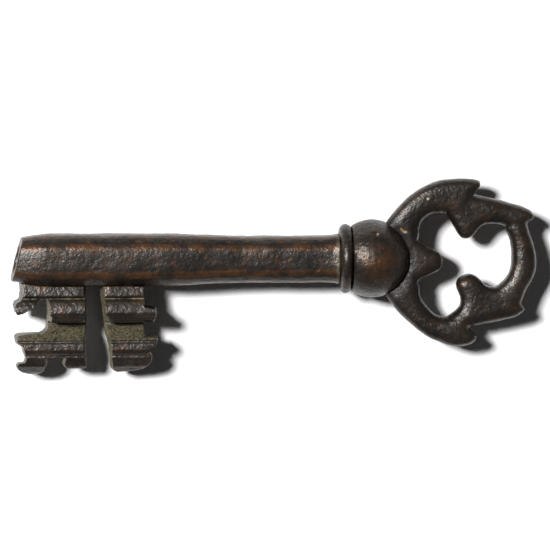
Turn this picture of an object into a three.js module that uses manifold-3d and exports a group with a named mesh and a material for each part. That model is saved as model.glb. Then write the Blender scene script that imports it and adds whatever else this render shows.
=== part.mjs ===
// A bronze door key: an eight-sided pipe barrel with a drilled pin hole, a two-lobed bit of
// waved section with ward cuts, a collar ring, a ball knop and a barbed trefoil bow.
// The bow's tang runs through knop and collar into the barrel, and each lobe of the bit
// stands on a tenon in the barrel's underside, as in a brazed key.
//
// Millimetres. +X runs from the barrel's mouth to the bow, the bit hangs towards -Y,
// and +Z is up through the bow's opening. The key lies on its knop.
import * as THREE from "three";
import { mergeVertices } from "three/addons/utils/BufferGeometryUtils.js";
import Module from "manifold-3d";

const wasm = await Module();
wasm.setup();

// Barrel. Half sizes are from the axis to a broad flat; it swells where it carries the bit.
const barrelLength = 76.6;
const mouthHalf = 5.1;
const bitHalf = 6.15;
const waistHalf = 5.5;
const neckHalf = 6;
const flatShare = 0.57; // width of a broad flat over the whole width
const cornerSoftness = 0.3; // share of each flat taken by the worn corner
const mouthTaperLength = 9;
const bitBandLength = 35; // from the mouth to where the waist begins
const waistLength = 18;
const neckFlareLength = 1.6;
const boreRadius = 3.2;
const boreDepth = 42;
const drillPoint = 1.6;
const mouthRakeUp = THREE.MathUtils.degToRad(14); // the mouth's top lies further back
const mouthRakeFront = THREE.MathUtils.degToRad(6); // and so does its front

// Bit.
const foreLobeStart = 0.5; // from the mouth
const foreLobeWidth = 16;
const cleftWidth = 3; // between the lobes, where they leave the barrel
const aftLobeWidth = 11;
const bitDrop = 21; // from the barrel's underside to the end of the longest foot
const bitReach = 5.2; // from the axis forward to the fullest fold
const tenonThickness = 4.4;
const tenonHeight = 1.2;
const tenonRoot = 1.5; // of the tenon inside the lobe
const tenonShoulder = 2.2;
const draftLeft = THREE.MathUtils.degToRad(10.5); // lean of the filed walls facing the mouth
const draftRight = THREE.MathUtils.degToRad(2.5); // and of those facing the bow
const outlineDepth = 3.5; // behind the axis, where the lobes have their drawn outline

// Collar and knop.
const collarWidth = 2.9;
const collarRadius = 8.3;
const knopRadius = 9.25;
const knopSeatRadius = 7.9; // flat face against the collar

// Tang of the bow.
const tangRadius = 3;
const tangInBarrel = 9;

// Bow. Points are measured from the knop's centre.
const bowThickness = 6.6;
const bowEdgeRound = 1.5; // depth of the rounded edge, front and back
const bowEdgeInset = 0.95;
const leafStep = 0.08; // each leaf is thinner than the one that overlaps it

// Clearances.
const brazeGap = 0.15; // filled with braze on the real key
const seatGap = 0.2; // between the ball and what is hollowed to fit it
const smallestDetail = 0.02;

const knopSeat = Math.sqrt(knopRadius ** 2 - knopSeatRadius ** 2);
const collarX = barrelLength;
const knopFaceX = collarX + collarWidth;
const knopX = knopFaceX + knopSeat;
const bitTop = -bitHalf;
const bitUnit = bitDrop / 20;
const foldUnit = bitReach / 52;
const aftLobeStart = foreLobeStart + foreLobeWidth + cleftWidth;

const bronze = new THREE.MeshStandardMaterial({ color: 0x3b2e24, roughness: 0.42, metalness: 0.9 });
const wornBronze = new THREE.MeshStandardMaterial({ color: 0x5a3b24, roughness: 0.38, metalness: 0.9 });
const crustedBronze = new THREE.MeshStandardMaterial({ color: 0x4c4634, roughness: 0.55, metalness: 0.8 });

// The closed solid that a three.js geometry bounds.
function solid(geometry) {
  const bare = geometry.clone();
  bare.deleteAttribute("normal");
  bare.deleteAttribute("uv");
  const merged = mergeVertices(bare, 1e-4);
  return new wasm.Manifold(
    new wasm.Mesh({
      numProp: 3,
      vertProperties: merged.getAttribute("position").array,
      triVerts: new Uint32Array(merged.index.array),
    }),
  );
}

function meshOf(name, shape, material) {
  const { vertProperties, triVerts } = shape.simplify(smallestDetail).getMesh();
  const geometry = new THREE.BufferGeometry();
  geometry.setAttribute("position", new THREE.BufferAttribute(vertProperties, 3));
  geometry.setIndex(new THREE.BufferAttribute(triVerts, 1));
  geometry.computeVertexNormals();
  const mesh = new THREE.Mesh(geometry, material);
  mesh.name = name;
  return mesh;
}

// A revolved solid round the X axis from a profile of [x, radius] pairs.
function turned(profile, segments = 48) {
  const points = profile.map(([x, radius]) => new THREE.Vector2(radius, x));
  return solid(new THREE.LatheGeometry(points, segments).rotateZ(-Math.PI / 2));
}

function box(x0, x1, y0, y1, z0, z1) {
  const geometry = new THREE.BoxGeometry(x1 - x0, y1 - y0, z1 - z0);
  return solid(geometry.translate((x0 + x1) / 2, (y0 + y1) / 2, (z0 + z1) / 2));
}

// Skins a row of flat sections, lists of [u, v] of one length that run anticlockwise.
// place(s, u, v) puts a point of section s in space.
function loft(sections, place) {
  const count = sections[0].length;
  const last = (sections.length - 1) * count;
  const positions = sections.flatMap((section, s) =>
    section.flatMap(([u, v]) => place(s, u, v).toArray()),
  );
  const index = [];
  for (let s = 0; s < last; s += count) {
    for (let i = 0; i < count; i += 1) {
      const a = s + i;
      const b = s + ((i + 1) % count);
      index.push(a, b, a + count, b, b + count, a + count);
    }
  }
  const capOf = (section) =>
    THREE.ShapeUtils.triangulateShape(section.map(([u, v]) => new THREE.Vector2(u, v)), []);
  capOf(sections[0]).forEach(([a, b, c]) => index.push(a, c, b));
  capOf(sections.at(-1)).forEach(([a, b, c]) => index.push(last + a, last + b, last + c));
  const geometry = new THREE.BufferGeometry();
  geometry.setAttribute("position", new THREE.Float32BufferAttribute(positions, 3));
  geometry.setIndex(index);
  return solid(geometry);
}

// Making the barrel

// An octagon with four broad flats, its corners worn round.
function barrelSection(half) {
  const flat = half * flatShare;
  const corners = [
    [half, -flat], [half, flat], [flat, half], [-flat, half],
    [-half, flat], [-half, -flat], [-flat, -half], [flat, -half],
  ].map(([y, z]) => new THREE.Vector2(y, z));
  return corners.flatMap((corner, i) => {
    const before = corner.clone().lerp(corners[(i + 7) % 8], cornerSoftness);
    const after = corner.clone().lerp(corners[(i + 1) % 8], cornerSoftness);
    const worn = before.clone().add(after).multiplyScalar(0.25).addScaledVector(corner, 0.5);
    return [before.toArray(), worn.toArray(), after.toArray()];
  });
}

// The barrel's outside, let out by a margin for cutting what is seated on it.
function barrelBody(margin = 0) {
  const stations = [];
  for (let i = -3; i < 6; i += 1) {
    const left = Math.min(1, 1 - i / 6);
    stations.push([mouthTaperLength * (i / 6), bitHalf - (bitHalf - mouthHalf) * left ** 2]);
  }
  stations.push(
    [mouthTaperLength, bitHalf],
    [bitBandLength, bitHalf],
    [bitBandLength + waistLength / 3, bitHalf * 0.74 + waistHalf * 0.26],
    [bitBandLength + (2 * waistLength) / 3, bitHalf * 0.26 + waistHalf * 0.74],
    [bitBandLength + waistLength, waistHalf],
    [barrelLength - 2.5 * neckFlareLength, waistHalf],
    [barrelLength - neckFlareLength, waistHalf + (neckHalf - waistHalf) * 0.3],
    [barrelLength, neckHalf],
  );
  return loft(
    stations.map(([, half]) => barrelSection(half + margin)),
    (s, y, z) => new THREE.Vector3(stations[s][0], y, z),
  );
}

// The mouth is cut off square to this direction.
const mouthNormal = new THREE.Vector3(-1, Math.tan(mouthRakeUp), Math.tan(mouthRakeFront)).normalize();

function mouthCutter() {
  const size = 8 * bitHalf;
  const block = new THREE.BoxGeometry(size, size, size).translate(0, 0, size / 2);
  const turn = new THREE.Quaternion().setFromUnitVectors(new THREE.Vector3(0, 0, 1), mouthNormal);
  return solid(block.applyQuaternion(turn));
}

function makeBarrel() {
  const start = -3 * bitHalf;
  const bore = turned([
    [start, 0],
    [start, boreRadius],
    [boreDepth - drillPoint, boreRadius],
    [boreDepth, 0],
  ]);
  const socketRadius = tangRadius + brazeGap;
  const socket = turned([
    [barrelLength - tangInBarrel - brazeGap, 0],
    [barrelLength - tangInBarrel - brazeGap, socketRadius],
    [barrelLength + 1, socketRadius],
    [barrelLength + 1, 0],
  ]);
  return barrelBody()
    .subtract(mouthCutter())
    .subtract(bore)
    .subtract(socket)
    .subtract(tenon(foreLobeStart, foreLobeWidth, brazeGap))
    .subtract(tenon(aftLobeStart, aftLobeWidth, brazeGap));
}

// Making the bit

// The block that lets a lobe into the barrel, or with a margin the mortise for it.
function tenon(start, width, margin = 0) {
  const half = tenonThickness / 2 + margin;
  return box(
    start + tenonShoulder - margin, start + width - tenonShoulder + margin,
    bitTop - tenonRoot, bitTop + tenonHeight + margin,
    -half, half,
  );
}

// The waved section of both lobes, each point [distance below the barrel in twentieths of
// the bit's drop, distance forward of the axis in 52nds of the bit's reach]. Front: a first fold, a fuller second
// one with a step cut in under it, a ramp up to a sharp edge, and a third fold that turns
// back to the lip. The back follows it, thinner towards the lip.
const bitFront = [
  [-1.6, 33], [0.4, 36], [2.2, 39], [3, 37], [3.3, 32], [3.8, 43], [4.8, 50],
  [6.2, 52], [7.3, 47], [8, 36], [8.2, 24], [8, 4], [8.2, -12], [8.9, -12],
  [11.9, 29], [12.2, 31], [12.4, 27], [13, 33], [14.4, 34], [15.2, 30], [15.6, 24],
  [16.2, 25], [18.2, 14], [19.6, -3], [20.3, -17],
];
const bitBack = [
  [20.1, -26], [19.2, -29], [17.4, -18], [15.6, -9], [13.8, -9], [12.2, -22],
  [10.6, -40], [9.2, -48], [7.8, -45], [6.4, -33], [5, -27], [3.4, -29],
  [1.6, -34], [-1.6, -33],
];

// Outlines of the lobes as runs of points: a run of one is a corner, a longer run a curve.
// Each point is [along the barrel in sixteenths of the outer lobe's width or elevenths of
// the inner one's, distance below the barrel in twentieths of the bit's drop].
const foreLobe = [
  [[0, -1.6]],
  [[0.1, 1.4], [-0.3, 3], [-1.4, 3.6], [-1.7, 4.7], [-1.3, 6.1], [-0.4, 6.4]], // hooked tooth
  [[1.5, 5.9]],
  [[3.3, 4.9]],
  [[4.2, 4.4]],
  [[4.4, 3.3], [5.4, 2.6], [6.2, 3.3], [6.4, 5], [6.4, 8.8], [5.9, 10.1], [4.7, 10.8]], // ward
  [[0.6, 10.9], [-1, 11.2], [-1.4, 12.1], [-1.1, 13.1], [0, 13.5]], // second tooth
  [[0.3, 14.9]],
  [[0.8, 16.2]],
  [[0.6, 17.3], [-0.8, 17.5], [-1.2, 18.4], [-0.2, 19.6], [1.7, 20.2], [4.1, 20.2],
    [5.8, 19.5], [6.5, 18]], // hooked foot
  [[6.5, 16.4]],
  [[7.6, 16.1]],
  [[10.2, 16.1]],
  [[9.8, 17.6], [10.3, 18.5], [11.5, 18.8]], // plain foot
  [[16.2, 18.7]],
  [[16, 13.5]],
  [[16, -1.6]],
];
const aftLobe = [
  [[0, -1.6]],
  [[0.1, 1.5]],
  [[1, 8.6]],
  [[1.9, 15.7], [2.3, 18.4], [3.3, 19.6], [5, 19.8], [7.4, 19.5], [10, 19], [11.9, 18],
    [12.7, 16.7], [12.7, 15.5]], // slanting wall and heel
  [[12.2, 14.9]],
  [[11.2, 15.7]],
  [[11.6, 14.5]],
  [[12.7, 13.7], [13.7, 13.4], [14, 12.3], [13.9, 11.4]], // barb
  [[12.8, 11.7]],
  [[11.2, 11.6]],
  [[10.8, 10.8]],
  [[10.8, 8.5]],
  [[13.2, 8.2], [13.8, 6.9], [13.5, 5.1]], // tooth
  [[10.9, 4.6]],
  [[11, 1.5]],
  [[11.2, -1.6]],
];

function lobeOutline(runs, toPoint) {
  const shape = new THREE.Shape();
  runs.forEach((run, i) => {
    const [first, ...rest] = run.map(toPoint);
    if (i === 0) shape.moveTo(first.x, first.y);
    else shape.lineTo(first.x, first.y);
    if (rest.length > 0) shape.splineThru(rest);
  });
  shape.closePath();
  return shape;
}

// The section drawn out along X past both lobes.
function bitBlank() {
  const section = [...bitFront, ...bitBack].map(([down, forward]) => [
    bitTop - down * bitUnit,
    forward * foldUnit,
  ]);
  const ends = [foreLobeStart - foreLobeWidth, aftLobeStart + 2 * aftLobeWidth];
  return loft([section, section], (s, y, z) => new THREE.Vector3(ends[s], y, z));
}

// A slab through the whole bit with this outline near the back. Its walls are filed on the
// slant: those that face the mouth lean back, those that face the bow stand almost square.
function filedSlab(outline) {
  const depth = 3 * bitHalf;
  const leaning = (lean) => {
    const slab = new THREE.ExtrudeGeometry(outline, { depth, bevelEnabled: false, curveSegments: 5 });
    slab.translate(0, 0, outlineDepth - depth / 2);
    slab.applyMatrix4(new THREE.Matrix4().makeShear(0, 0, 0, 0, Math.tan(lean), 0));
    return solid(slab.translate(0, 0, -outlineDepth));
  };
  return leaning(draftLeft).intersect(leaning(-draftRight));
}

function makeLobe(runs, start, width, columns) {
  const toPoint = ([along, down]) =>
    new THREE.Vector2(start + (along * width) / columns, bitTop - down * bitUnit);
  return filedSlab(lobeOutline(runs, toPoint))
    .intersect(bitBlank())
    .subtract(barrelBody(brazeGap))
    .add(tenon(start, width));
}

// Making the collar and knop

function makeCollar() {
  const bore = tangRadius + brazeGap;
  const middle = collarX + collarWidth / 2;
  const crown = collarRadius - collarWidth / 2;
  const profile = [[collarX, bore]];
  for (let i = 0; i <= 8; i += 1) {
    const turn = (Math.PI * i) / 8;
    profile.push([middle - (collarWidth / 2) * Math.cos(turn), crown + (collarWidth / 2) * Math.sin(turn)]);
  }
  profile.push([knopFaceX, bore], [collarX, bore]);
  return turned(profile);
}

// The ball, let out by a margin for hollowing the bow's seat.
function ball(margin = 0) {
  return solid(new THREE.SphereGeometry(knopRadius + margin, 40, 26).translate(knopX, 0, 0));
}

function makeKnop() {
  const bore = turned([
    [knopFaceX - 1, 0],
    [knopFaceX - 1, tangRadius + brazeGap],
    [knopX + knopRadius + 1, tangRadius + brazeGap],
    [knopX + knopRadius + 1, 0],
  ]);
  const beyond = 2 * knopRadius;
  return ball()
    .subtract(box(knopX - beyond, knopFaceX, -beyond, beyond, -beyond, beyond))
    .subtract(bore);
}

// Making the bow

// The bow is a ring of five leaves of flat bar with rounded edges, and a prong. Each row
// is a point on a leaf's right-hand edge and one on its left, going along it, measured from
// the knop's centre: two crescents spring from the knop and end in barbs, two broad leaves
// with a cusp carry on from under them to a second pair of barbs, and an arch joins those.
const upperCrescent = [
  [[9, 1.5], [2.5, 7]],
  [[11, 4.4], [4.9, 10.6]],
  [[11.4, 8.1], [7.7, 13.7]],
  [[13.7, 10.5], [11.9, 16.8]],
  [[16.4, 10.9], [16.1, 18.5]],
  [[19.4, 10.8], [20.3, 19]],
  [[22.4, 13.4], [23.4, 18.9]],
  [[24.4, 15.4], [25, 18.6]],
  [[25.7, 17.4], [25.7, 18.2]],
];
const upperLeaf = [
  [[17.6, 11.1], [19, 16]],
  [[19.3, 8], [21.8, 15.6]],
  [[20.9, 5.2], [24, 15.2]],
  [[22.5, 4.6], [25.2, 14.9]],
  [[24.2, 5.5], [26.6, 14.7]],
  [[26.1, 7.8], [28.8, 14.2]],
  [[29, 8.3], [31.6, 13.5]],
  [[32.2, 7.8], [35.2, 12.5]],
  [[36.4, 8.3], [37.8, 11.3]],
  [[38.2, 9.2], [38.8, 10]],
];
const arch = [
  [[31.2, 7.2], [36.9, 9]],
  [[32.7, 5.2], [37.6, 6.2]],
  [[33.4, 2.4], [38.6, 3.5]],
  [[33.5, 0], [39.3, 0.2]],
  [[33.3, -2.2], [39.2, -2.6]],
  [[32.4, -4.5], [38.3, -5.2]],
  [[31, -6], [37, -7.6]],
  [[29.5, -7], [35.9, -10.4]],
];
const lowerLeaf = [
  [[19, -16.8], [18.4, -13.8]],
  [[21, -16.6], [21, -11.6]],
  [[23.2, -16.3], [21.2, -9.4]],
  [[25, -16], [20.3, -6.6]],
  [[26, -15.8], [20.9, -4.8]],
  [[26.9, -15.6], [23.2, -3.8]],
  [[28, -15.4], [25.2, -4.5]],
  [[29.2, -15.2], [27.2, -6.4]],
  [[31, -14.9], [29.4, -6.9]],
  [[33.6, -14.3], [31.7, -7.5]],
  [[35.6, -13.3], [34.6, -9.4]],
  [[36.6, -12.3], [36, -11.2]],
];
const lowerCrescent = [
  [[3, -8.2], [9, -2.2]],
  [[5.8, -12.2], [11.1, -5.4]],
  [[9.5, -15.9], [11.6, -9.2]],
  [[13.3, -18.7], [14.7, -13.1]],
  [[17.5, -20.5], [17.5, -14]],
  [[20.7, -21.1], [20.6, -13.8]],
  [[23.9, -20.4], [23.6, -17]],
  [[25, -19.2], [24.9, -18.4]],
];
const prong = [
  [[5, -6.8], [5, 6.4]],
  [[9.4, -5.9], [9.4, 5]],
  [[11.4, -5.1], [11.4, 4.2]],
  [[13.2, -4.3], [13.2, 2.9]],
  [[15, -3.4], [15, 2]],
  [[16.3, -2.6], [16.1, 1.3]],
  [[16.8, -1.2], [16.8, 0.1]],
];

// The section of a leaf: a bar of this width and thickness whose edges are rounded off.
function leafSection(width, thickness) {
  const round = Math.min(bowEdgeInset, 0.45 * width);
  const rise = thickness / 2 - bowEdgeRound;
  const section = [];
  for (let corner = 0; corner < 4; corner += 1) {
    const u = corner < 2 ? width - round : round;
    const v = corner === 1 || corner === 2 ? rise : -rise;
    for (let step = 0; step <= 3; step += 1) {
      const turn = (Math.PI / 2) * (corner - 1 + step / 3);
      section.push([u + round * Math.cos(turn), v + bowEdgeRound * Math.sin(turn)]);
    }
  }
  return section;
}

function leaf(stations, thickness) {
  const edge = (side) =>
    new THREE.SplineCurve(stations.map((row) => new THREE.Vector2(...row[side])));
  const steps = 3 * (stations.length - 1);
  const right = edge(0).getPoints(steps);
  const left = edge(1).getPoints(steps);
  return loft(
    right.map((point, s) => leafSection(point.distanceTo(left[s]), thickness)),
    (s, u, v) => {
      const at = left[s].clone().sub(right[s]).setLength(u).add(right[s]);
      return new THREE.Vector3(knopX + at.x, at.y, v);
    },
  );
}

function makeBow() {
  const tangEnd = barrelLength - tangInBarrel;
  const tangHead = knopX + knopRadius + 1.2;
  const tang = turned([
    [tangEnd, 0],
    [tangEnd, tangRadius - 0.5],
    [tangEnd + 0.5, tangRadius],
    [tangHead, tangRadius],
    [tangHead, 0],
  ]);
  const leaves = [upperCrescent, lowerCrescent, upperLeaf, lowerLeaf, arch, prong];
  return leaves
    .map((stations, i) => leaf(stations, bowThickness - i * leafStep))
    .reduce((joined, next) => joined.add(next))
    .subtract(ball(seatGap))
    .add(tang);
}

const key = new THREE.Group();
key.add(
  meshOf("barrel", makeBarrel(), bronze),
  meshOf("bit_fore_lobe", makeLobe(foreLobe, foreLobeStart, foreLobeWidth, 16), crustedBronze),
  meshOf("bit_aft_lobe", makeLobe(aftLobe, aftLobeStart, aftLobeWidth, 11), crustedBronze),
  meshOf("collar", makeCollar(), bronze),
  meshOf("knop", makeKnop(), wornBronze),
  meshOf("bow", makeBow(), bronze),
);

// The origin is under the middle of the key, on the surface it lies on.
const extent = new THREE.Box3().setFromObject(key);
const middle = extent.getCenter(new THREE.Vector3());
key.position.set(-middle.x, -middle.y, -extent.min.z);

const root = new THREE.Group();
root.add(key);

export default root;
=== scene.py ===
import bpy
import math
from mathutils import Matrix, Vector
from mathutils.kdtree import KDTree


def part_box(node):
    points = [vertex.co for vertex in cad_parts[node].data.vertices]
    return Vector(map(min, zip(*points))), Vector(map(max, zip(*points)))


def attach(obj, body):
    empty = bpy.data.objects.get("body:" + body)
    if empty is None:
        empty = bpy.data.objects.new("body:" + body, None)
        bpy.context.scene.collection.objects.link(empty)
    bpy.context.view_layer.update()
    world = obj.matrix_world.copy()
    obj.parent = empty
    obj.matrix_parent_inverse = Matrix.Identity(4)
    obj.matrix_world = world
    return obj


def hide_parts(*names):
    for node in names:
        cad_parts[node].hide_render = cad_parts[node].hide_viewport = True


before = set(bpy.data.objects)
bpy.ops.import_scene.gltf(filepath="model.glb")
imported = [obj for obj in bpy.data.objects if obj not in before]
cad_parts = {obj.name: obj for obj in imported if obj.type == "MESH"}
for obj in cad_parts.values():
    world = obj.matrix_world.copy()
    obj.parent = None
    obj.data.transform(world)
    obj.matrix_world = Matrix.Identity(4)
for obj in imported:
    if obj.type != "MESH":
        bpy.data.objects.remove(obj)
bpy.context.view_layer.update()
print("frame loaded")

millimetre = 0.001
knopLow, knopHigh = (Vector(corner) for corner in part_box("knop"))
barrelLow, barrelHigh = (Vector(corner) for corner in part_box("barrel"))
axis = (knopLow + knopHigh) / 2  # the barrel's and knop's axis runs through it along X
knopRadius = (knopHigh.z - knopLow.z) / 2
knopCentre = Vector((knopHigh.x - knopRadius, axis.y, axis.z))


# Colours and nodes

def rgb(hexColour):  # sRGB hex to the linear values that shaders take
    parts = [int(hexColour[i:i + 2], 16) / 255 for i in (1, 3, 5)]
    linear = [part / 12.92 if part <= 0.04045 else ((part + 0.055) / 1.055) ** 2.4 for part in parts]
    return linear + [1.0]


# Inputs go by name, or in the order in which the node shows them.
def addNode(nodeTree, kind, inputs=(), **settings):
    node = nodeTree.nodes.new("ShaderNode" + kind)
    for name, value in settings.items():
        setattr(node, name, value)
    shown = [socket for socket in node.inputs if socket.enabled]
    named = {socket.name: socket for socket in shown}
    for key, value in inputs.items() if isinstance(inputs, dict) else enumerate(inputs):
        socket = named[key] if isinstance(key, str) else shown[key]
        if isinstance(value, bpy.types.Node):  # a node stands for its first output in use
            value = next(output for output in value.outputs if output.enabled)
        if isinstance(value, bpy.types.NodeSocket):
            nodeTree.links.new(value, socket)
        else:
            socket.default_value = value
    return node


# Settings for sums on amounts that stay between 0 and 1
times = {"operation": "MULTIPLY", "use_clamp": True}
plus = {"operation": "ADD", "use_clamp": True}
minus = {"operation": "SUBTRACT", "use_clamp": True}
larger = {"operation": "MAXIMUM", "use_clamp": True}


# Bronze

# Cast bronze, buried, handled and waxed: a brown black skin over red copper, which shows
# where edges are rubbed, and tan and olive dirt where nothing rubs. Fine sand-cast grain
# and pits break the shine into specks.
bronzeSkin = {
    "skinDark": "#110e0b", "skin": "#28211b", "skinLight": "#443a31",
    # the tan crust colour also stands for painted light on the bit's sides that face the lamp
    "rubbed": "#4f3117", "crustAndLitTan": "#7a7359", "green": "#566045", "bright": "#8a744e",
    "grainMm": 0.5, "pitMm": 0.9, "cloudMm": 7.0, "patchMm": 3.15,
    "metallic": 0.45, "wax": 0.22, "waxRoughness": 0.25,
    # the last of these dulls the surface where shade is painted at the bow's root
    "roughness": 0.36, "grainDulls": 0.12, "grainShines": 0.1, "dirtDulls": 0.4, "paintedShadeDulls": 0.5,
    "bumpMm": 0.2, "bumpStrength": 0.55, "grainHeight": 0.75, "pitHeight": 0.25,
    "blush": 0.4, "crustAndLitUneven": 0.45, "chipCore": 0.4, "chipsMm": (),
    # the values of a pattern between which an effect comes in
    "skinClouds": (0.32, 0.5, 0.72), "darkGrain": (0.62, 0.35), "blushPatches": (0.5, 0.66),
    "patches": (0.36, 0.58), "edges": (0.51, 0.6), "hollows": (0.495, 0.43),
    "crustAndLitGrain": (0.3, 0.58), "greenClouds": (0.55, 0.75), "shineGrain": (0.3, 0.7),
    "chipGrain": (0.3, 0.5), "chipFacing": (0.0, 0.3), "pitWalls": (0.05, 0.42),
}


def patinatedBronze(name, piece, wear=None, crustAndLitTan=None, paintedShade=None):
    look = {**bronzeSkin, **piece}
    material = bpy.data.materials.new(name)
    material.use_nodes = True
    tree = material.node_tree
    tree.nodes.clear()
    place = addNode(tree, "TexCoord").outputs["Object"]
    bend = addNode(tree, "NewGeometry").outputs["Pointiness"]  # over 0.5 on edges, less in hollows
    perMetre = 1 / millimetre
    grain = addNode(tree, "TexNoise", {
        "Vector": place, "Scale": perMetre / look["grainMm"], "Detail": 4.0, "Roughness": 0.65})
    cloud = addNode(tree, "TexNoise", {
        "Vector": place, "Scale": perMetre / look["cloudMm"], "Detail": 5.0, "Roughness": 0.6})
    patch = addNode(tree, "TexNoise", {
        "Vector": place, "Scale": perMetre / look["patchMm"], "Detail": 6.0, "Roughness": 0.7})
    pits = addNode(tree, "TexVoronoi", {
        "Vector": place, "Scale": perMetre / look["pitMm"], "Randomness": 1.0})
    patchy = addNode(tree, "MapRange", (patch, *look["patches"]))

    # the skin: three browns in clouds, darkest in the grain, with a blush of copper
    skin = addNode(tree, "ValToRGB", (cloud,))
    skin.color_ramp.elements.new(0.5)
    browns = zip(skin.color_ramp.elements, look["skinClouds"], ("skinDark", "skin", "skinLight"))
    for stop, position, brown in browns:
        stop.position = position
        stop.color = rgb(look[brown])
    dark = addNode(tree, "MapRange", (grain, *look["darkGrain"]))
    skin = addNode(tree, "Mix", (dark, skin, rgb(look["skinDark"])), data_type="RGBA")
    blush = addNode(tree, "MapRange", (patch, *look["blushPatches"]))
    blush = addNode(tree, "Math", (blush, look["blush"]), **times)
    skin = addNode(tree, "Mix", (blush, skin, rgb(look["rubbed"])), data_type="RGBA")

    # rubbed copper on the edges and where the piece is handled
    rubbing = addNode(tree, "MapRange", (bend, *look["edges"]))
    if wear:
        rubbing = addNode(tree, "Math", (rubbing, wear(tree, place)), **larger)
    rubbing = addNode(tree, "Math", (rubbing, patchy), **times)
    rubbing = addNode(tree, "Math", (rubbing, look["rubAmount"]), **times)
    colour = addNode(tree, "Mix", (rubbing, skin, rgb(look["rubbed"])), data_type="RGBA")

    # tan and green dirt in the hollows, and tan caked on where the piece says, which on the bit is partly
    # painted light on the sides that face the lamp
    dirtAndLitTan = addNode(tree, "MapRange", (bend, *look["hollows"]))
    dirtAndLitTan = addNode(tree, "Math", (dirtAndLitTan, patchy), **times)
    dirtAndLitTan = addNode(tree, "Math", (dirtAndLitTan, look["crustAmount"]), **times)
    # caked tan: dirt at the barrel's neck; on the bit partly dirt and partly painted light
    if crustAndLitTan:
        grainy = addNode(tree, "MapRange", (grain, *look["crustAndLitGrain"]))
        uneven = addNode(tree, "Math", (patchy, look["crustAndLitUneven"]), **times)
        uneven = addNode(tree, "Math", (uneven, 1 - look["crustAndLitUneven"]), **plus)
        cakedAndLit = addNode(tree, "Math", (crustAndLitTan(tree, place), grainy), **times)
        cakedAndLit = addNode(tree, "Math", (cakedAndLit, uneven), **times)
        dirtAndLitTan = addNode(tree, "Math", (dirtAndLitTan, cakedAndLit), **larger)
    greenish = addNode(tree, "MapRange", (cloud, *look["greenClouds"]))
    crustAndLitColour = addNode(
        tree, "Mix", (greenish, rgb(look["crustAndLitTan"]), rgb(look["green"])), data_type="RGBA")
    colour = addNode(tree, "Mix", (dirtAndLitTan, colour, crustAndLitColour), data_type="RGBA")

    # the shine: specks where the grain stands up, dull under the dirt and under the tan that is painted
    # light
    shine = addNode(tree, "MapRange", (
        grain, *look["shineGrain"],
        look["roughness"] + look["grainDulls"], look["roughness"] - look["grainShines"]))
    dull = addNode(tree, "Math", (dirtAndLitTan, look["dirtDulls"]), **times)
    rough = addNode(tree, "Math", (shine, dull), **plus)
    metal = addNode(tree, "Math", (look["metallic"], dirtAndLitTan), **minus)
    # painted shade: where the bow runs into the knop the colour goes to the darkest brown and the surface
    # duller
    if paintedShade:
        packedDirtAndShade = paintedShade(tree, place)
        colour = addNode(tree, "Mix", (packedDirtAndShade, colour, rgb(look["skinDark"])), data_type="RGBA")
        dull = addNode(tree, "Math", (packedDirtAndShade, look["paintedShadeDulls"]), **times)
        rough = addNode(tree, "Math", (rough, dull), **plus)
    if look["chipsMm"]:
        bare = addNode(tree, "MapRange", (grain, *look["chipGrain"]))
        bare = addNode(tree, "Math", (brightChips(tree, place, look), bare), **times)
        colour = addNode(tree, "Mix", (bare, colour, rgb(look["bright"])), data_type="RGBA")

    # grain and pits that are too fine for the mesh
    walls = addNode(tree, "MapRange", (pits, *look["pitWalls"]))
    walls = addNode(tree, "Math", (walls, look["pitHeight"]), **times)
    height = addNode(tree, "Math", (grain, look["grainHeight"]), **times)
    height = addNode(tree, "Math", (height, walls), **plus)
    bump = addNode(tree, "Bump", {
        "Height": height, "Strength": look["bumpStrength"], "Distance": look["bumpMm"] * millimetre})
    shader = addNode(tree, "BsdfPrincipled", {
        "Base Color": colour, "Roughness": rough, "Metallic": metal, "Normal": bump,
        "Coat Weight": look["wax"], "Coat Roughness": look["waxRoughness"], "Coat Normal": bump})
    addNode(tree, "OutputMaterial", {"Surface": shader})
    print(name, "made")
    return material


def brightChips(tree, place, look):  # raw metal where the skin has flaked off, on the upper side
    flat = addNode(tree, "VectorMath", (place, (1.0, 1.0, 0.0)), operation="MULTIPLY")
    chipped = 0.0
    for alongMm, acrossMm, radiusMm in look["chipsMm"]:
        centre = (knopCentre.x + alongMm * millimetre, axis.y + acrossMm * millimetre, 0.0)
        away = addNode(tree, "VectorMath", (flat, centre), operation="DISTANCE")
        radius = radiusMm * millimetre
        chip = addNode(tree, "MapRange", (away, radius, look["chipCore"] * radius))
        chipped = addNode(tree, "Math", (chipped, chip), **larger)
    facing = addNode(tree, "SeparateXYZ", (addNode(tree, "NewGeometry").outputs["Normal"],))
    upward = addNode(tree, "MapRange", (facing.outputs["Z"], *look["chipFacing"]))
    return addNode(tree, "Math", (chipped, upward), **times)


# Casting

def only(piece):
    bpy.ops.object.select_all(action="DESELECT")
    piece.select_set(True)
    bpy.context.view_layer.objects.active = piece


def applied(piece, kind, **settings):
    only(piece)
    modifier = piece.modifiers.new(kind.lower(), kind)
    for name, value in settings.items():
        setattr(modifier, name, value)
    bpy.ops.object.modifier_apply(modifier=modifier.name)


def castRelief(name, sizeMm, depth):
    texture = bpy.data.textures.new(name, "CLOUDS")
    texture.noise_scale = sizeMm * millimetre
    texture.noise_depth = depth
    return texture


castSwell = castRelief("castSwell", sizeMm=6.0, depth=2)  # the unevenness of a cast face
castGrain = castRelief("castGrain", sizeMm=0.9, depth=3)  # the sand of the mould
weldMm = 0.002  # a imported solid's loose triangles meet closer than this


# How far a point lies, seen from above, from a place in mm along and across from the knop's centre
def besideKnop(point, alongMm, acrossMm):
    return math.hypot(
        point.x - knopCentre.x - alongMm * millimetre, point.y - axis.y - acrossMm * millimetre)


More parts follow.
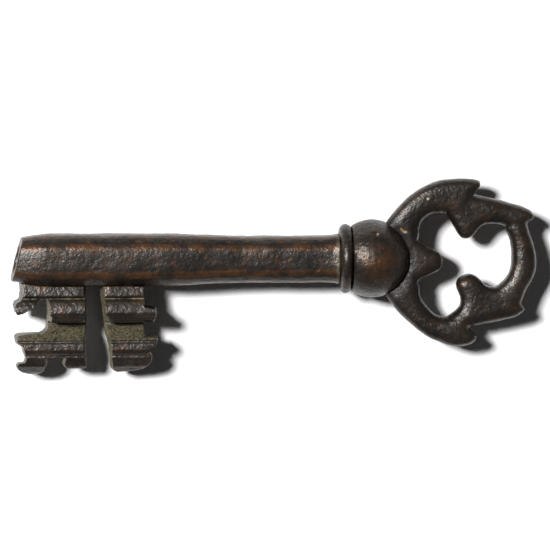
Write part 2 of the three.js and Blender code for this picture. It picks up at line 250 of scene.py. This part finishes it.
def dented(piece, look):  # the chips are hollows too
    for v in piece.data.vertices:
        if v.co.z < axis.z:
            continue
        for alongMm, acrossMm, radiusMm in look["chipsMm"]:
            away = besideKnop(v.co, alongMm, acrossMm) / (radiusMm * millimetre)
            if away < 1:
                v.co.z -= look["chipMm"] * millimetre * (1 - away ** 2) ** 2


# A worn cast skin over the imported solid, which stays where the frame has it
def castPiece(node, name, material, look, shaped=None):
    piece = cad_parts[node].copy()
    piece.data = piece.data.copy()
    piece.name = name
    piece.data.name = name
    for key in list(piece.keys()):
        del piece[key]
    piece.parent = None
    bpy.context.scene.collection.objects.link(piece)
    only(piece)
    bpy.ops.object.mode_set(mode="EDIT")
    bpy.ops.mesh.select_all(action="SELECT")
    bpy.ops.mesh.remove_doubles(threshold=weldMm * millimetre)
    bpy.ops.object.mode_set(mode="OBJECT")
    applied(piece, "REMESH", mode="VOXEL", voxel_size=look["voxelMm"] * millimetre)
    if shaped:
        shaped(piece, look)
    applied(piece, "SMOOTH", factor=0.5, iterations=look["wearSteps"])
    applied(piece, "DISPLACE", texture=castSwell, texture_coords="LOCAL", mid_level=0.5,
            strength=look["swellMm"] * millimetre)
    applied(piece, "DISPLACE", texture=castGrain, texture_coords="LOCAL", mid_level=0.5,
            strength=look["reliefMm"] * millimetre)
    bpy.ops.object.shade_smooth()
    piece.data.materials.clear()
    piece.data.materials.append(material)
    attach(piece, "root")
    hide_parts(node)
    print(name, "made,", len(piece.data.polygons), "faces")


# The barrel

barrelLook = {
    "voxelMm": 0.3, "wearSteps": 5, "swellMm": 0.3, "reliefMm": 0.14,
    "mouthMm": 9.0, "mouthLean": 0.015,  # how much of the barrel is squared, and by how much
    "crustAmount": 0.35, "rubAmount": 0.85,
    "cornerTurn": 15.3,  # degrees from a diagonal to a corner
    "lineTurn": 9.0, "lineCore": 0.1,  # a rubbed line's half width in degrees, and its core's in radians
    "neckDirtMm": 1.3, "neckDirt": 0.55,
}


def cornerLines(tree, place):  # the rubbed corners, by folding the turn round the axis on to one of them
    sides = addNode(tree, "SeparateXYZ", (place,))
    across = addNode(tree, "Math", (sides.outputs["Y"], axis.y), operation="SUBTRACT")
    high = addNode(tree, "Math", (sides.outputs["Z"], axis.z), operation="SUBTRACT")
    turn = addNode(tree, "Math", (high, across), operation="ARCTAN2")
    turn = addNode(tree, "Math", (turn,), operation="ABSOLUTE")
    for fold in (math.pi / 2, math.pi / 4, math.radians(barrelLook["cornerTurn"])):
        turn = addNode(tree, "Math", (turn, fold), operation="SUBTRACT")
        turn = addNode(tree, "Math", (turn,), operation="ABSOLUTE")
    return addNode(tree, "MapRange", (turn, math.radians(barrelLook["lineTurn"]), barrelLook["lineCore"]))


def neckDirt(tree, place):  # packed into the corner against the collar
    sides = addNode(tree, "SeparateXYZ", (place,))
    start = barrelHigh.x - barrelLook["neckDirtMm"] * millimetre
    packedDirtAndShade = addNode(tree, "MapRange", (sides.outputs["X"], start, barrelHigh.x))
    return addNode(tree, "Math", (packedDirtAndShade, barrelLook["neckDirt"]), **times)


def squaredMouth(piece, look):  # the worn mouth stands a little squarer than the cut one
    for v in piece.data.vertices:
        near = 1 - (v.co.x - barrelLow.x) / (look["mouthMm"] * millimetre)
        if near > 0:  # in full over the outer half
            v.co.x -= (v.co.z - axis.z) * look["mouthLean"] * min(1.0, 2 * near)


# Sand-cast bronze, pitted in the ground: a dark skin that glitters in specks between copper lines
barrelBronze = patinatedBronze("pittedCastBronze", barrelLook, wear=cornerLines, crustAndLitTan=neckDirt)
castPiece("barrel", "pipeBarrel", barrelBronze, barrelLook, squaredMouth)


# The bit's two lobes

bitLook = {
    "voxelMm": 0.18, "wearSteps": 7, "swellMm": 0.3, "reliefMm": 0.16,
    "creaseFromMm": 2.4,  # forward of the axis
    "creaseMm": [  # below the barrel, and forward of the axis
        (2.0, 3.9), (2.6, 3.75), (2.9, 2.9), (3.15, 4.2), (3.6, 4.8), (4.6, 5.2), (6.0, 5.4), (6.9, 5.2)],
    "crustAmount": 0.6, "rubAmount": 0.55,
    "handledMm": 3.0, "handledBlendMm": 1.0,  # of the outer end
    "rampTopMm": 8.4, "rampBottomMm": 12.9, "rampBlendMm": 0.5,  # below the barrel
    # tan on the sides that face the lamp, partly dirt and partly painted light
    "wallFacing": (0.4, 0.8), "slopeFacing": (0.3, 0.62),
    "crustAndLitWalls": 0.85, "slopeCrustAndLight": 0.62, "offRamp": 0.25,
}


def crustAndLitWalls(tree, place):  # tan: dirt in the ramp's hollow, partly dirt and partly painted light on the walls that face the mouth and the lamp, and painted light on other slopes that face the lamp
    facing = addNode(tree, "SeparateXYZ", (addNode(tree, "NewGeometry").outputs["Normal"],))
    sides = addNode(tree, "SeparateXYZ", (place,))
    # partly painted light: tan on the walls facing the mouth's side, the side the lamp lights
    wall = addNode(tree, "Math", (facing.outputs["X"], -1.0), operation="MULTIPLY")
    wall = addNode(tree, "MapRange", (wall, *bitLook["wallFacing"]))
    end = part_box("bit_fore_lobe")[0][0] + bitLook["handledMm"] * millimetre  # rubbed clean up to here
    inside = end + bitLook["handledBlendMm"] * millimetre
    unhandled = addNode(tree, "MapRange", (sides.outputs["X"], end, inside))
    wall = addNode(tree, "Math", (wall, unhandled), **times)
    wall = addNode(tree, "Math", (wall, bitLook["crustAndLitWalls"]), **times)
    top = barrelLow.y - bitLook["rampTopMm"] * millimetre
    bottom = barrelLow.y - bitLook["rampBottomMm"] * millimetre
    blend = bitLook["rampBlendMm"] * millimetre
    above = addNode(tree, "MapRange", (sides.outputs["Y"], bottom, bottom + blend))
    below = addNode(tree, "MapRange", (sides.outputs["Y"], top, top - blend))
    ramp = addNode(tree, "Math", (above, below), **times)
    # painted light: slopes facing the lamp get some tan outside the ramp too
    ramp = addNode(tree, "Math", (ramp, bitLook["offRamp"]), **plus)
    ramp = addNode(tree, "Math", (ramp, bitLook["slopeCrustAndLight"]), **times)
    slope = addNode(tree, "MapRange", (facing.outputs["Y"], *bitLook["slopeFacing"]))
    slope = addNode(tree, "Math", (slope, ramp), **times)
    return addNode(tree, "Math", (wall, slope), **larger)


def sharpCrease(piece, look):  # the crease between the first two folds is narrow
    profile = look["creaseMm"]
    for v in piece.data.vertices:
        down = (barrelLow.y - v.co.y) / millimetre
        forward = (v.co.z - axis.z) / millimetre
        if forward < look["creaseFromMm"] or not profile[0][0] <= down <= profile[-1][0]:
            continue
        for (downA, forwardA), (downB, forwardB) in zip(profile, profile[1:]):
            if downA <= down <= downB:
                v.co.z = axis.z + millimetre * (
                    forwardA + (forwardB - forwardA) * (down - downA) / (downB - downA))
                break


# Filed bronze under old dirt: dark glossy ridges over chalky tan and olive walls; the tan on the sides
# that face the lamp is partly painted light
bitBronze = patinatedBronze("crustedAndLitFiledBronze", bitLook, crustAndLitTan=crustAndLitWalls)
castPiece("bit_fore_lobe", "outerBitLobe", bitBronze, bitLook, sharpCrease)
castPiece("bit_aft_lobe", "innerBitLobe", bitBronze, bitLook, sharpCrease)


# The collar

collarLook = {
    "voxelMm": 0.2, "wearSteps": 3, "swellMm": 0.5, "reliefMm": 0.16,
    "crustAmount": 0.8, "rubAmount": 0.5,
}

# Cast bronze that no hand rubs: a brown black ring with dirt in its corners
collarBronze = patinatedBronze("grimyCastBronze", collarLook)
castPiece("collar", "ringCollar", collarBronze, collarLook)


# The knop

knopLook = {
    "voxelMm": 0.25, "wearSteps": 3, "swellMm": 0.4, "reliefMm": 0.16,
    "chipsMm": [(1.4, 6.2, 0.4)], "chipMm": 0.5,  # along, across, radius, and how deep
    "crustAmount": 0.6, "rubAmount": 0.9, "bumpStrength": 0.6,
    "palmAheadMm": 1.8, "palmMm": 5.5, "palmCore": 0.35,
}


def palm(tree, place):  # the rubbed crown of the knop
    crown = knopCentre + Vector((knopLook["palmAheadMm"] * millimetre, 0, knopRadius))
    away = addNode(tree, "VectorMath", (place, crown), operation="DISTANCE")
    reach = knopLook["palmMm"] * millimetre
    return addNode(tree, "MapRange", (away, reach, knopLook["palmCore"] * reach))


# Cast bronze polished by hands: a warm red brown crown that fades into the brown black skin
knopBronze = patinatedBronze("handPolishedBronze", knopLook, wear=palm)
castPiece("knop", "ballKnop", knopBronze, knopLook, dented)


# The bow

bowLook = {
    "voxelMm": 0.25, "wearSteps": 8, "swellMm": 0.4, "reliefMm": 0.14,
    "rimMm": 0.3, "rootMm": 1.2, "crownMm": 3.1, "edgeShare": 0.5,
    "seatMm": 1.0, "closeMm": 0.7, "valleyMm": 2.2, "valleyShare": 0.86,
    "seamsMm": [(32.4, 7.6, 2.0), (14.9, 11.9, 1.6)], "seamSteps": 50,  # along, across, radius
    "chipsMm": [(7.3, 7.2, 0.4), (7.8, 6.8, 0.5), (8.4, 6.5, 0.4), (13.4, 14.4, 0.45)], "chipMm": 0.35,
    "crustAmount": 0.5, "rubAmount": 0.4, "skin": "#251e18", "skinLight": "#3d3329", "blush": 0.35,
    # how far from the ball the painted shade at the bow's root reaches
    "rootShadeMm": 3.4,
}


def paintedRootShade(tree, place):  # painted shade where the bow leaves the knop: darker and duller close to the ball
    away = addNode(tree, "VectorMath", (place, knopCentre), operation="DISTANCE")
    return addNode(tree, "MapRange", (away, knopRadius + bowLook["rootShadeMm"] * millimetre, knopRadius))


def easedSeams(piece, look):  # where two leaves run into each other
    seam = piece.vertex_groups.new(name="seam")
    for alongMm, acrossMm, radiusMm in look["seamsMm"]:
        near = [v.index for v in piece.data.vertices
                if besideKnop(v.co, alongMm, acrossMm) < radiusMm * millimetre]
        seam.add(near, 1.0, "REPLACE")
    applied(piece, "SMOOTH", factor=0.5, iterations=look["seamSteps"], vertex_group="seam")
    piece.vertex_groups.clear()


def domed(piece, look):  # the leaves are pillowed, and drawn in where they sit on the knop
    easedSeams(piece, look)
    vertices = piece.data.vertices
    rim = [v.co for v in vertices if abs(v.co.z - axis.z) < look["rimMm"] * millimetre
           and (v.co - knopCentre).length > knopRadius + look["rootMm"] * millimetre]
    tree = KDTree(len(rim))
    for i, point in enumerate(rim):
        tree.insert((point.x, point.y, 0.0), i)
    tree.balance()
    crown = look["crownMm"] * millimetre
    for v in vertices:
        out = v.co - knopCentre
        if out.length < knopRadius:
            continue
        reach = (out.length - knopRadius) / (look["seatMm"] * millimetre)
        if reach < 1:  # the seat is drawn in until it closes on the ball
            v.co = knopCentre + out.normalized() * (
                out.length - (1 - reach) * look["closeMm"] * millimetre)
        inside = min(tree.find((v.co.x, v.co.y, 0.0))[2] / crown, 1.0)
        swell = look["edgeShare"] + (1 - look["edgeShare"]) * math.sqrt(1 - (1 - inside) ** 2)
        valley = min((out.length - knopRadius) / (look["valleyMm"] * millimetre), 1.0)
        swell *= look["valleyShare"] + (1 - look["valleyShare"]) * valley
        v.co.z = axis.z + (v.co.z - axis.z) * swell
    dented(piece, look)


# Cast bronze under a thick dark skin: nearly black leaves with soft highlights, and painted shade at
# their root against the knop
bowBronze = patinatedBronze("darkCastBronze", bowLook, paintedShade=paintedRootShade)
castPiece("bow", "trefoilBow", bowBronze, bowLook, domed)


# Floor: white paper that keeps the key's shadow

floorLook = {"size": 3.0, "paper": "#f6f6f6", "roughness": 0.9, "specular": 0.1}
bpy.ops.object.select_all(action="DESELECT")
bpy.ops.mesh.primitive_plane_add(size=floorLook["size"], location=(0, 0, 0))
paperFloor = bpy.context.object
paperFloor.name = "paperFloor"
paper = bpy.data.materials.new("whitePaper")
paper.use_nodes = True
paper.node_tree.nodes.clear()
paperShader = addNode(paper.node_tree, "BsdfPrincipled", {
    "Base Color": rgb(floorLook["paper"]), "Roughness": floorLook["roughness"],
    "Specular IOR Level": floorLook["specular"]})
addNode(paper.node_tree, "OutputMaterial", {"Surface": paperShader})
paperFloor.data.materials.append(paper)
print("floor made")


# Light: one soft box from the left and above, and a dim room

lightLook = {
    "towards": (1.0, -0.55, -1.85), "distance": 3.0, "size": 0.48, "power": 140.0,
    "room": 0.03, "sheen": 0.22,  # the room's strength on surfaces and in reflections
}
softBox = bpy.data.lights.new("softBox", "AREA")
softBox.size = lightLook["size"]
softBox.energy = lightLook["power"]
softBoxObject = bpy.data.objects.new("softBox", softBox)
bpy.context.scene.collection.objects.link(softBoxObject)
aim = Vector(lightLook["towards"]).normalized()
softBoxObject.location = -aim * lightLook["distance"]
softBoxObject.rotation_euler = aim.to_track_quat("-Z", "Y").to_euler()
room = bpy.data.worlds.new("room")
bpy.context.scene.world = room
room.use_nodes = True
roomTree = room.node_tree
roomTree.nodes.clear()
ray = addNode(roomTree, "LightPath")
gloss = lightLook["sheen"] - lightLook["room"]
level = addNode(roomTree, "Math", (ray.outputs["Is Glossy Ray"], gloss), **times)
level = addNode(roomTree, "Math", (level, lightLook["room"]), **plus)
level = addNode(roomTree, "Math", (level, ray.outputs["Is Camera Ray"]), **larger)  # white to the eye
background = addNode(roomTree, "Background", {"Color": (1, 1, 1, 1), "Strength": level})
addNode(roomTree, "OutputWorld", {"Surface": background})


# Camera: nearly overhead, leaning towards the side away from the bit

cameraLook = {
    "lean": 5.0, "side": 3.0, "distance": 0.7, "widthMm": 130.9, "aimMm": (0.3, 0.24, 8.0),
    "sensor": 36.0, "clipEnd": 20.0,
}
camera = bpy.data.cameras.new("overhead")
cameraObject = bpy.data.objects.new("overhead", camera)
bpy.context.scene.collection.objects.link(cameraObject)
lean = math.tan(math.radians(cameraLook["lean"]))
side = math.tan(math.radians(cameraLook["side"]))
back = Vector((-side, lean, 1.0)).normalized()
right = Vector((0, 1, 0)).cross(back).normalized()
up = back.cross(right)
eye = Vector(cameraLook["aimMm"]) * millimetre + back * cameraLook["distance"]
cameraObject.matrix_world = Matrix((
    (right.x, up.x, back.x, eye.x), (right.y, up.y, back.y, eye.y),
    (right.z, up.z, back.z, eye.z), (0, 0, 0, 1)))
camera.sensor_width = cameraLook["sensor"]
camera.lens = cameraLook["sensor"] * cameraLook["distance"] / (cameraLook["widthMm"] * millimetre)
camera.clip_end = cameraLook["clipEnd"]
bpy.context.scene.camera = cameraObject
bpy.context.scene.view_settings.view_transform = "Standard"
print("camera and light set")
